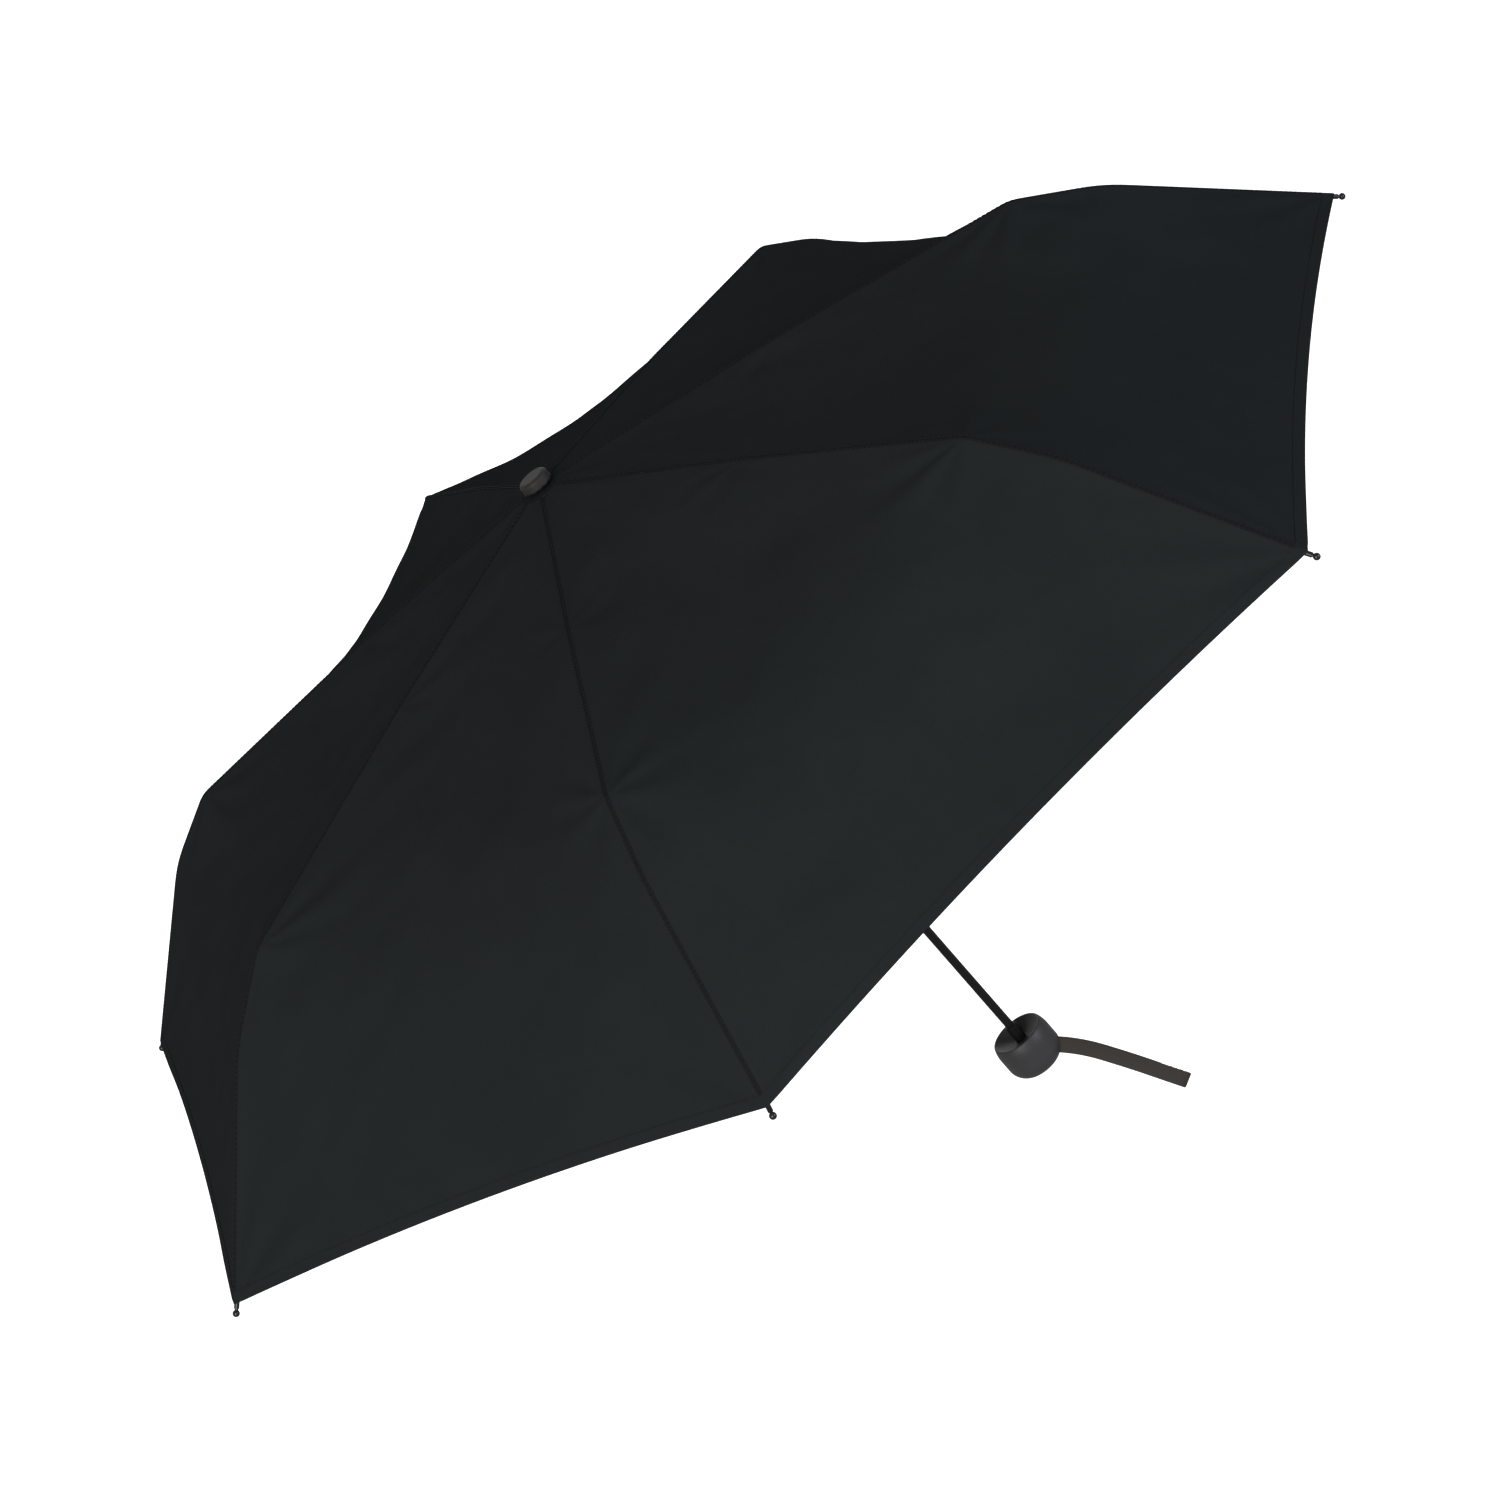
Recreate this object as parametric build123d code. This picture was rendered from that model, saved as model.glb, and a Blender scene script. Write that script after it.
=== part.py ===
from build123d import *
import os
from math import asin, atan2, cos, degrees, hypot, pi, radians, sin

# Folding umbrella with seven ribs, modelled open. Millimetres and degrees.
# The origin is the centre of the grip, on the shaft's axis, and +Z runs up the shaft to the canopy.
# Each rib is drawn in its own upright plane: x runs outwards along the bar, y points to the canopy
# and z is the rib's width. A "level" is a height below the canopy's apex, negative downwards.

# ---- driving dimensions
RIBS = 7
APEX_Z = 505.6                 # canopy apex above the grip's centre

INNER_LENGTH = 160.0           # crown pin to first fold
MIDDLE_LENGTH = 168.0          # first fold to second fold
OUTER_LENGTH = 204.0           # second fold to the end of the rod
STRETCHER_LENGTH = 95.0        # runner pin to the pivot on the inner rib
STRETCHER_ON_RIB = 88.0        # crown pin to that pivot
INNER_SLOPE = -8.9             # open slopes of the three rib sections
MIDDLE_SLOPE = -10.6
OUTER_SLOPE = -39.9
FOLD_OFFSET = 1.8              # from a bar's centreline to its fold pin
CROWN_PIN = (8.0, -6.0)        # radius and level of the crown's wire
RUNNER_PIN_R = 9.0

CLEAR = 1.0                    # how far a cutting shape reaches past what it cuts
BAR_HALF_HEIGHT = 0.9
BAR_HALF_WIDTH = 1.15
TONGUE_HALF_WIDTH = 0.55
CHEEK_INNER = 0.65             # the cheeks of a fold stand this far from the rib's plane
CHEEK_START = 4.5              # full bar stops this far from a fold pin
CHEEK_OVERLAP = 3.5            # and the fold's plates run on along it
ROD_FITTING = 8.0              # length of the fitting that holds the outer rod
ROD_START = 2.0                # the rod begins this far inside the fitting
KNUCKLE_R = 1.6
RIVET_R = 0.8
RIVET_HOLE_R = 0.85
EYE_R = 1.5
EYE_HALF_WIDTH = 1.0
EYE_NECK = (2.0, 4.5)          # the eye's plate meets the bar between these
BAR_START = 3.0
WIRE_R = 0.45
WIRE_HOLE_R = 0.55
PIVOT_PIN_R = 0.7
STRIP_INNER = 1.4              # the stretcher's two strips pass either side of the inner rib
STRIP_OUTER = 2.0
FORK_BLOCK = (5.0, 10.0)       # block that spreads the stretcher's neck into its two strips
FORK_OVERLAP = 1.0
ROD_R = 0.95
ROD_BEND = (52.0, 8.8)         # where the outer rod bows towards the canopy
ROD_BEND_R = 160.0
TIP_SLEEVE = (199.0, 207.0, 1.6)
TIP_BALL = (209.8, 2.2)
TIP_NECK_R = 1.12
TIP_SOCKET = 20.0

LOWER_TUBE = (2.9, 2.4, -325.0, -513.6)     # outer radius, inner radius, top level, bottom level
MIDDLE_TUBE = (3.5, 3.0, -183.0, -345.0)
UPPER_TUBE = (4.1, 3.6, -5.0, -206.0)
TUBE_TRAVEL = 138.5

CROWN_R = 10.0
CROWN_TOP = -2.8
CROWN_BOTTOM = -12.0
CROWN_SLEEVE = (6.2, -22.0)
SLOT_HALF_WIDTH = 1.3
CROWN_SLOT = (6.4, -4.0)       # inner radius and roof of the crown's slots
STEM_R = 2.6

CAP_R = 10.0
CAP_BASE = 1.0
CAP_TOP = 7.0
CAP_ROUND = 2.6
WASHER_R = 10.4
WASHER_BASE = 0.2
SCALLOPS = 14
SCALLOP_R = 0.9

RUNNER_BORE_R = 4.18
RUNNER_FLANGE_R = 11.5
RUNNER_FLANGE_HALF = 3.0
RUNNER_SLEEVE_R = 7.0
RUNNER_NECK_R = 5.6
RUNNER_ABOVE = 8.0             # neck above the pins, sleeve below them
RUNNER_BELOW = 22.0
RUNNER_RIM = (8.5, 3.0)
RUNNER_SLOT_R = 7.3
BUTTON_R = 2.4
BUTTON_GAP = 0.2
BUTTON_FLOOR_R = 4.7
BUTTON_FACE_R = 8.1
BUTTON_LENGTH = 2.2
BUTTON_DROP = 11.0             # below the runner's pins
BUTTON_ANGLE = 180.0

GRIP_R = 19.6
GRIP_BASE_R = 15.0
GRIP_BOTTOM = -13.6
GRIP_TOP = 13.6                # crest of the rim round the dished upper face
GRIP_SIDE = (5.5, -4.4)        # the side is straight between these heights
GRIP_SHOULDER = (19.2, 9.3)    # arcs above and below the straight side go through these
GRIP_HEEL = (18.4, -9.5)
GRIP_RIM = [(18.2, 12.9), (17.4, GRIP_TOP), (16.4, 13.3)]     # arc from outside to inside
DISH_WALL = (10.8, 10.6)
DISH_FLOOR = (4.8, 8.6)        # radius and height of the dish's flat floor
COLLAR = (3.9, 21.0, 5.0)      # radius, top and bottom of the collar round the tube
PLUG = (6.5, 2.5)              # radius and depth of the plug under the grip

STRAP_EXIT = Vector(16.9, -5.7, -10.2)
STRAP_AHEAD = Vector(0.7613, -0.2167, -0.6112)     # along the strap where it leaves the grip
STRAP_SIDE = Vector(-0.6478, -0.3041, -0.6985)     # across the band
STRAP_ROUTE = [(10.0, 0.0), (46.0, 10.9), (82.0, 23.3)]     # after a straight start inside the grip
STRAP_BENDS = [56.0, 700.0]
STRAP_WIDTH = 10.2
STRAP_THICKNESS = 2.0
STRAP_HALF_GAP = 1.5
STRAP_ROOT = 9.0               # length of the band inside the grip
STRAP_PIN_R = 1.0
STRAP_PIN_BACK = 5.8
STRAP_PIN_LENGTH = 14.6
POCKET = (10.0, 5.6, 4.0)      # depth, half width and half thickness of the strap's pocket

CANOPY_FOLD = (166.5, -26.0)   # rib-plane outline of the canopy, radius and level
CANOPY_KNEE = (331.0, -57.0)
CANOPY_BOW = (382.0, -88.5)
CANOPY_TIP = (490.0, -191.0)
CANOPY_THICKNESS = 0.45
CANOPY_OVERRUN = (20.0, -19.0)     # the outline runs on past the tip before the hem is cut
CANOPY_HOLE_R = 3.0
HEM_SAG = 5.5                  # plan depth of the hem's curve between two tips

# ---- the mechanism worked out from the driving dimensions
def along(slope, x, y=0.0):
    """Radius and height of a point of a bar at this slope, from its own origin."""
    a = radians(slope)
    return (x * cos(a) - y * sin(a), x * sin(a) + y * cos(a))


def add(a, b):
    return (a[0] + b[0], a[1] + b[1])


FOLD_ONE = add(CROWN_PIN, along(INNER_SLOPE, INNER_LENGTH, FOLD_OFFSET))
FOLD_TWO = add(FOLD_ONE, along(MIDDLE_SLOPE, MIDDLE_LENGTH, -2 * FOLD_OFFSET))
STRETCHER_PIVOT = add(CROWN_PIN, along(INNER_SLOPE, STRETCHER_ON_RIB))
RISE = (STRETCHER_LENGTH**2 - (STRETCHER_PIVOT[0] - RUNNER_PIN_R)**2) ** 0.5
RUNNER_PIN = (RUNNER_PIN_R, STRETCHER_PIVOT[1] - RISE)
STRETCHER_SLOPE = degrees(atan2(RISE, STRETCHER_PIVOT[0] - RUNNER_PIN_R))
CLOSED_RISE = (STRETCHER_LENGTH**2 - (CROWN_PIN[0] - RUNNER_PIN_R)**2) ** 0.5
CLOSED_STRETCHER_SLOPE = degrees(atan2(CLOSED_RISE, CROWN_PIN[0] - RUNNER_PIN_R))
RUNNER_TRAVEL = RUNNER_PIN[1] - (CROWN_PIN[1] - STRETCHER_ON_RIB - CLOSED_RISE)

# turns from open to closed about each rib's sideways axis, positive downwards
INNER_TURN = 90 + INNER_SLOPE
MIDDLE_TURN = -(180 - INNER_SLOPE + MIDDLE_SLOPE)
OUTER_TURN = 180 + OUTER_SLOPE - MIDDLE_SLOPE
STRETCHER_TURN = STRETCHER_SLOPE - CLOSED_STRETCHER_SLOPE


# ---- helpers
def box_between(x, y, z):
    """Box from three (low, high) pairs."""
    size = [b - a for a, b in (x, y, z)]
    return Pos(*[(a + b) / 2 for a, b in (x, y, z)]) * Box(*size)


def tube(outer, inner, top, bottom):
    """Upright tube between two row heights; an inner radius of 0 makes it solid."""
    height = top - bottom
    body = Pos(0, 0, (top + bottom) / 2) * Cylinder(outer, height)
    if inner:
        body -= Pos(0, 0, (top + bottom) / 2) * Cylinder(inner, height + CLEAR)
    return body


def pin(x, y, radius, half_width, inner=0.0):
    """Pin across the rib's plane at (x, y)."""
    body = Pos(x, y, 0) * Cylinder(radius, 2 * half_width)
    if inner:
        body -= Pos(x, y, 0) * Cylinder(inner, 2 * half_width + CLEAR)
    return body


def lug(x, y, radius, bar_x, bar_y, low, high):
    """Plate that joins a knuckle at (x, y) to the bar between bar_x, from low to high in width."""
    knuckle = Pos(x, y) * Circle(radius)
    bar = Pos(sum(bar_x) / 2, bar_y) * Rectangle(abs(bar_x[1] - bar_x[0]), 2 * BAR_HALF_HEIGHT)
    plate = make_hull(knuckle.edges() + bar.edges())
    return Pos(0, 0, low) * extrude(plate, high - low)


def bar(x0, x1, y, half_width=BAR_HALF_WIDTH):
    return box_between((x0, x1), (y - BAR_HALF_HEIGHT, y + BAR_HALF_HEIGHT), (-half_width, half_width))


def cheeks(bar_y):
    """The two cheeks of a fold, pierced for its rivet, with the pin at the origin."""
    plates = []
    for low, high in ((CHEEK_INNER, BAR_HALF_WIDTH), (-BAR_HALF_WIDTH, -CHEEK_INNER)):
        plate = lug(0, 0, KNUCKLE_R, (CHEEK_START, CHEEK_START + CHEEK_OVERLAP), bar_y, low, high)
        plates.append(plate - pin(0, 0, RIVET_R, BAR_HALF_WIDTH + CLEAR))
    return plates


def tongue(x, y, bar_y):
    """The single plate of a fold that turns between the cheeks."""
    span = (x - CHEEK_START - CHEEK_OVERLAP, x - CHEEK_START)
    plate = lug(x, y, KNUCKLE_R, span, bar_y, -TONGUE_HALF_WIDTH, TONGUE_HALF_WIDTH)
    return plate - pin(x, y, RIVET_HOLE_R, BAR_HALF_WIDTH)


def wire_eye():
    """Eye that hangs on a ring wire at the origin, with its neck."""
    plate = lug(0, 0, EYE_R, EYE_NECK, 0, -EYE_HALF_WIDTH, EYE_HALF_WIDTH)
    return plate - pin(0, 0, WIRE_HOLE_R, BAR_HALF_WIDTH)


def rib_angle(k):
    return -360.0 / RIBS * k


def in_rib(k, at, slope):
    """Location of a bar's own frame in rib k, with its origin at radius and level at."""
    a, b = radians(rib_angle(k)), radians(slope)
    origin = (at[0] * cos(a), at[0] * sin(a), APEX_Z + at[1])
    ahead = (cos(b) * cos(a), cos(b) * sin(a), sin(b))
    return Plane(origin=origin, x_dir=ahead, z_dir=(sin(a), -cos(a), 0)).location


def ring_groove(at, outer):
    """Groove for a ring wire, open to the outside."""
    groove = Torus(at[0], WIRE_R) + tube(outer, at[0], WIRE_R, -WIRE_R)
    return Pos(0, 0, APEX_Z + at[1]) * groove


def slots(inner, outer, bottom, top):
    """Radial slots, one for each rib, between two row heights."""
    slot = box_between((inner, outer), (-SLOT_HALF_WIDTH, SLOT_HALF_WIDTH), (bottom, top))
    return [Rot(0, 0, rib_angle(k)) * slot for k in range(RIBS)]


def write(name, *solids):
    shape = solids[0] if len(solids) == 1 else Compound(children=list(solids))
    export_step(shape, f"parts/{name}.step")


# ---- ribs and stretchers, each in its own frame
def inner_rib():
    body = wire_eye() + bar(BAR_START, INNER_LENGTH - CHEEK_START, 0) + tongue(INNER_LENGTH, FOLD_OFFSET, 0)
    body -= pin(STRETCHER_ON_RIB, 0, PIVOT_PIN_R, BAR_HALF_WIDTH + CLEAR)
    return [body, pin(STRETCHER_ON_RIB, 0, PIVOT_PIN_R, BAR_HALF_WIDTH)]


def middle_rib():
    """Runs on the underside of its first pin and carries the second one below itself."""
    end = MIDDLE_LENGTH - CHEEK_START
    body = bar(CHEEK_START, end, -FOLD_OFFSET)
    body += tongue(MIDDLE_LENGTH, -2 * FOLD_OFFSET, -FOLD_OFFSET)
    for cheek in cheeks(-FOLD_OFFSET):
        body += cheek
    return [body, pin(0, 0, RIVET_R, BAR_HALF_WIDTH)]


def outer_rib():
    """Springy rod that bows towards the canopy, in a riveted end fitting."""
    start = (CHEEK_START + ROD_START, FOLD_OFFSET)
    route = FilletPolyline(start, ROD_BEND, (OUTER_LENGTH, FOLD_OFFSET), radius=ROD_BEND_R)
    rod = sweep(Plane(origin=route @ 0, z_dir=route % 0) * Circle(ROD_R), path=route)
    body = bar(CHEEK_START, CHEEK_START + ROD_FITTING, FOLD_OFFSET) + rod
    for cheek in cheeks(FOLD_OFFSET):
        body += cheek
    return [body, pin(0, 0, RIVET_R, BAR_HALF_WIDTH)]


def rib_tip():
    """Moulded end that grips the rod and holds the canopy's corner."""
    low, high, radius = TIP_SLEEVE
    at, ball = TIP_BALL
    rod_line = Pos(low, FOLD_OFFSET, 0) * Rot(0, 90, 0)
    sleeve = rod_line * Pos(0, 0, (high - low) / 2) * Cylinder(radius, high - low)
    neck = rod_line * Pos(0, 0, (at - low) / 2) * Cylinder(TIP_NECK_R, at - low)
    end = Pos(at, FOLD_OFFSET, 0) * Sphere(ball)
    turn = degrees(atan2(ROD_BEND[1] - FOLD_OFFSET, OUTER_LENGTH - ROD_BEND[0]))
    socket = Pos(OUTER_LENGTH, FOLD_OFFSET, 0) * Rot(0, 0, -turn) * Rot(0, 90, 0)
    socket *= Pos(0, 0, -TIP_SOCKET / 2) * Cylinder(ROD_R, TIP_SOCKET)
    return [sleeve + neck + end - socket]


def stretcher():
    block = box_between(FORK_BLOCK, (-BAR_HALF_HEIGHT, BAR_HALF_HEIGHT), (-STRIP_OUTER, STRIP_OUTER))
    neck = bar(EYE_NECK[1] - FORK_OVERLAP, FORK_BLOCK[0] + FORK_OVERLAP, 0, EYE_HALF_WIDTH)
    body = wire_eye() + neck + block
    root = (FORK_BLOCK[1] - FORK_OVERLAP, FORK_BLOCK[1] + FORK_OVERLAP)
    for low, high in ((STRIP_INNER, STRIP_OUTER), (-STRIP_OUTER, -STRIP_INNER)):
        strip = lug(STRETCHER_LENGTH, 0, EYE_R, root, 0, low, high)
        body += strip - pin(STRETCHER_LENGTH, 0, PIVOT_PIN_R, STRIP_OUTER + CLEAR)
    return [body]


def place_rib(k):
    frames = {
        "inner_rib": (inner_rib, CROWN_PIN, INNER_SLOPE),
        "middle_rib": (middle_rib, FOLD_ONE, MIDDLE_SLOPE),
        "outer_rib": (outer_rib, FOLD_TWO, OUTER_SLOPE),
        "rib_tip": (rib_tip, FOLD_TWO, OUTER_SLOPE),
        "stretcher": (stretcher, RUNNER_PIN, STRETCHER_SLOPE),
    }
    for name, (make, at, slope) in frames.items():
        place = in_rib(k, at, slope)
        write(f"{name}_{k + 1}", *[solid.moved(place) for solid in make()])


# ---- shaft and crown
def shaft_tube(outer, inner, top, bottom):
    return tube(outer, inner, APEX_Z + top, APEX_Z + bottom)


def crown():
    top, bottom = APEX_Z + CROWN_TOP, APEX_Z + CROWN_BOTTOM
    sleeve_r, sleeve_end = CROWN_SLEEVE
    body = tube(CROWN_R, 0, top, bottom) + tube(sleeve_r, 0, bottom, APEX_Z + sleeve_end)
    body -= tube(UPPER_TUBE[0], 0, APEX_Z + UPPER_TUBE[2], APEX_Z + sleeve_end)
    body -= tube(STEM_R, 0, top, APEX_Z + UPPER_TUBE[2])
    inner, roof = CROWN_SLOT
    for slot in slots(inner, CROWN_R + CLEAR, bottom, APEX_Z + roof):
        body -= slot
    return body - ring_groove(CROWN_PIN, CROWN_R + CLEAR)


def ring_wire(at):
    return Pos(0, 0, APEX_Z + at[1]) * Torus(at[0], WIRE_R)


def cap():
    """Round cap on a stem that goes through the canopy into the crown."""
    body = tube(CAP_R, 0, CAP_TOP, CAP_BASE)
    body = fillet(body.edges().group_by(Axis.Z)[-1], CAP_ROUND)
    return Pos(0, 0, APEX_Z) * (body + tube(STEM_R, 0, CAP_BASE, UPPER_TUBE[2] + CLEAR))


def cap_washer():
    washer = tube(WASHER_R, STEM_R, CAP_BASE, WASHER_BASE)
    notch = Pos(WASHER_R, 0, CAP_BASE) * Cylinder(SCALLOP_R, 2 * CLEAR)
    for k in range(SCALLOPS):
        washer -= Rot(0, 0, 360 / SCALLOPS * k) * notch
    return Pos(0, 0, APEX_Z) * washer


# ---- runner
def runner():
    level = APEX_Z + RUNNER_PIN[1]
    rim_r, rim_height = RUNNER_RIM
    body = tube(RUNNER_FLANGE_R, 0, level + RUNNER_FLANGE_HALF, level - RUNNER_FLANGE_HALF)
    body += tube(RUNNER_NECK_R, 0, level + RUNNER_ABOVE, level)
    body += tube(RUNNER_SLEEVE_R, 0, level, level - RUNNER_BELOW)
    body += tube(rim_r, 0, level - RUNNER_BELOW + rim_height, level - RUNNER_BELOW)
    body -= tube(RUNNER_BORE_R, 0, level + RUNNER_ABOVE + CLEAR, level - RUNNER_BELOW - CLEAR)
    floor = level - EYE_R - BUTTON_GAP
    for slot in slots(RUNNER_SLOT_R, RUNNER_FLANGE_R + CLEAR, floor, level + RUNNER_FLANGE_HALF):
        body -= slot
    body -= ring_groove(RUNNER_PIN, RUNNER_FLANGE_R + CLEAR)
    return body - button_cylinder(BUTTON_R + BUTTON_GAP, BUTTON_FLOOR_R, BUTTON_FACE_R + CLEAR)


def button_cylinder(radius, low, high):
    """Cylinder on the release button's radial axis."""
    level = APEX_Z + RUNNER_PIN[1] - BUTTON_DROP
    turn = Pos(0, 0, level) * Rot(0, 0, BUTTON_ANGLE) * Rot(0, 90, 0)
    return turn * Pos(0, 0, (low + high) / 2) * Cylinder(radius, high - low)


def runner_button():
    return button_cylinder(BUTTON_R, BUTTON_FACE_R - BUTTON_LENGTH, BUTTON_FACE_R)


# ---- grip and strap
def strap_frame():
    """x along the strap, y across the band, z through its thickness."""
    return Plane(origin=STRAP_EXIT, x_dir=STRAP_AHEAD, z_dir=STRAP_AHEAD.cross(STRAP_SIDE))


def handle():
    """Round knob with a straight side and a dished upper face."""
    floor_r, floor = DISH_FLOOR
    high, low = (GRIP_R, GRIP_SIDE[0]), (GRIP_R, GRIP_SIDE[1])
    base = (GRIP_BASE_R, GRIP_BOTTOM)
    outline = Line((0, GRIP_BOTTOM), (0, floor)).edges() + Line((0, floor), (floor_r, floor)).edges()
    outline += ThreePointArc(DISH_FLOOR, DISH_WALL, GRIP_RIM[2]).edges()
    outline += ThreePointArc(*reversed(GRIP_RIM)).edges()
    outline += ThreePointArc(GRIP_RIM[0], GRIP_SHOULDER, high).edges()
    outline += Line(high, low).edges()
    outline += ThreePointArc(low, GRIP_HEEL, base).edges()
    outline += Line(base, (0, GRIP_BOTTOM)).edges()
    body = revolve(Plane.XZ * make_face(outline), Axis.Z)
    collar_r, _, collar_bottom = COLLAR
    body -= tube(collar_r, 0, GRIP_TOP, collar_bottom)
    body -= tube(LOWER_TUBE[0], 0, GRIP_TOP, APEX_Z + LOWER_TUBE[3])
    plug_r, plug_depth = PLUG
    body -= tube(plug_r, 0, GRIP_BOTTOM + plug_depth, GRIP_BOTTOM - CLEAR)
    depth, half_width, half_thickness = POCKET
    pocket = box_between((-depth, GRIP_R), (-half_width, half_width), (-half_thickness, half_thickness))
    body -= pocket.moved(strap_frame().location)
    return body - strap_pin()


def handle_collar():
    radius, top, bottom = COLLAR
    return tube(radius, LOWER_TUBE[0], top, bottom)


def handle_plug():
    radius, depth = PLUG
    return tube(radius, 0, GRIP_BOTTOM + depth, GRIP_BOTTOM)


def strap_pin():
    """Pin across the grip's pocket, inside the strap's loop."""
    local = Pos(-STRAP_PIN_BACK, 0, 0) * Rot(90, 0, 0) * Cylinder(STRAP_PIN_R, STRAP_PIN_LENGTH)
    return local.moved(strap_frame().location)


def strap():
    """Flat loop: two legs a small gap apart, closed at both ends."""
    route = FilletPolyline((-STRAP_ROOT, 0), *STRAP_ROUTE, radius=STRAP_BENDS)
    band = trace(route, STRAP_WIDTH)
    whole = extrude(band, STRAP_HALF_GAP + STRAP_THICKNESS, both=True)
    gap = extrude(trace(route, STRAP_WIDTH + CLEAR), STRAP_HALF_GAP, both=True)
    beyond = (-STRAP_WIDTH, STRAP_WIDTH)
    for at, towards in ((route @ 0, route % 0), (route @ 1, -(route % 1))):
        end = box_between((-STRAP_THICKNESS, STRAP_THICKNESS), beyond, beyond)
        gap -= Plane(origin=at, x_dir=towards) * end
    return (whole - gap).moved(strap_frame().location)


# ---- canopy
def canopy_outline():
    """Upper line of the canopy in a rib's plane, from the apex to the tip."""
    return [(0.0, 0.0), CANOPY_FOLD, CANOPY_KNEE, CANOPY_BOW, CANOPY_TIP]


def gore():
    """Flat-faceted panel between two ribs, with its middle on +X."""
    half = pi / RIBS
    line = [(r * cos(half), level) for r, level in canopy_outline()]
    line.append(add(line[-1], CANOPY_OVERRUN))
    under = [(x, z - CANOPY_THICKNESS) for x, z in reversed(line)]
    reach = CANOPY_TIP[0]
    strip = extrude(Plane.XZ * make_face(Polyline(*line, *under, close=True)), reach, both=True)
    left = (reach * cos(half), reach * sin(half))
    right = (left[0], -left[1])
    hem = ThreePointArc(left, (left[0] - HEM_SAG, 0), right)
    wedge = make_face(Line((0, 0), left).edges() + hem.edges() + Line(right, (0, 0)).edges())
    return strip & extrude(wedge, reach, both=True)


def canopy():
    panel = Rot(0, 0, 180 / RIBS) * gore()
    body = panel
    for k in range(1, RIBS):
        body += Rot(0, 0, 360 / RIBS * k) * panel
    body -= tube(CANOPY_HOLE_R, 0, CLEAR, -CANOPY_FOLD[0])
    return Pos(0, 0, APEX_Z) * body


os.makedirs("parts", exist_ok=True)
for rib in range(RIBS):
    place_rib(rib)
write("lower_tube", shaft_tube(*LOWER_TUBE))
write("middle_tube", shaft_tube(*MIDDLE_TUBE))
write("upper_tube", shaft_tube(*UPPER_TUBE))
write("crown", crown())
write("crown_wire", ring_wire(CROWN_PIN))
write("cap", cap())
write("cap_washer", cap_washer())
write("runner", runner())
write("runner_wire", ring_wire(RUNNER_PIN))
write("runner_button", runner_button())
write("handle", handle())
write("handle_collar", handle_collar())
write("handle_plug", handle_plug())
write("strap_pin", strap_pin())
write("strap", strap())
write("canopy", canopy())
print("runner travel", round(RUNNER_TRAVEL, 3), "turns", [
    round(t, 3) for t in (INNER_TURN, MIDDLE_TURN, OUTER_TURN, STRETCHER_TURN)])
print("strap bends at radii of", STRAP_BENDS, "for a band", STRAP_WIDTH, "wide")
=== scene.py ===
import math

import bmesh
import bpy
import numpy as np
from mathutils import Matrix, Vector


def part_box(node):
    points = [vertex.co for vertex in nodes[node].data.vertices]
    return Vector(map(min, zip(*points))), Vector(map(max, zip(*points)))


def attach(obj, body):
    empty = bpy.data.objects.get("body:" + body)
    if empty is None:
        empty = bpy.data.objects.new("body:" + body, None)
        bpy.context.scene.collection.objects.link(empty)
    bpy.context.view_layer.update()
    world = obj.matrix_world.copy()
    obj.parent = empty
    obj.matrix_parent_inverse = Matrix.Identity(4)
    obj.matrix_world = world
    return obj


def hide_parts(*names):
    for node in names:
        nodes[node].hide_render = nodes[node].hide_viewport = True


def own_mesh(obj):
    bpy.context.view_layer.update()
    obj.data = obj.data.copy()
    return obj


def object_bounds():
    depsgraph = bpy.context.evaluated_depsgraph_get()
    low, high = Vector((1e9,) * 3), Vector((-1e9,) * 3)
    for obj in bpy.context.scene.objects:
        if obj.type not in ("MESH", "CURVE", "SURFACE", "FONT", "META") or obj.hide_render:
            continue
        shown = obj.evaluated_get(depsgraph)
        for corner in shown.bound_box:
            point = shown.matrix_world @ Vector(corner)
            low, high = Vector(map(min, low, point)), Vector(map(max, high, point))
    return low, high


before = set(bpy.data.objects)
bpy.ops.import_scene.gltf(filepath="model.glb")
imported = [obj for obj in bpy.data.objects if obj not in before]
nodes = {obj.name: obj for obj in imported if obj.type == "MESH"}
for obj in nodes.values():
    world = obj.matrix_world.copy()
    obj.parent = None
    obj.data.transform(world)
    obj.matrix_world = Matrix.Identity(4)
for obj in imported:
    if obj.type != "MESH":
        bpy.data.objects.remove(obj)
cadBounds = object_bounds()
print("frame loaded:", len(nodes), "nodes")


view = {
    "place": (0.09319, -2.73985, 1.38184),
    "right": (0.76106, -0.21663, -0.61145),
    "ahead": (-0.03465, 0.92767, -0.37180),
    "lens": 113.42,
    "sensor": 36.0,
    "floorDrop": 0.06,       # below the lowest point of the object
    "floorSize": 60.0,
    "floorGlow": 1.0,
    "sky": 0.34,
    "farthest": 200.0,
    "white": (1.0, 1.0, 1.0, 1.0),
    "floorTone": (0.8, 0.8, 0.8, 1.0),
    "floorRough": 0.9,
    "domeSides": 48,
    "domeRings": 24,
    "domeShare": 0.98,       # of the floor's half width
}

lamps = {
    "key": {"place": (-1.2, -2.7, 1.25), "size": 2.6, "power": 80.0, "colour": (1.0, 0.99, 0.97)},
    "side": {"place": (2.5, -1.8, 0.35), "size": 1.6, "power": 40.0, "colour": (0.84, 0.92, 1.0)},
    "back": {"place": (0.3, 3.0, 0.7), "size": 2.2, "power": 12.0, "colour": (1.0, 1.0, 1.0)},
}


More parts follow.
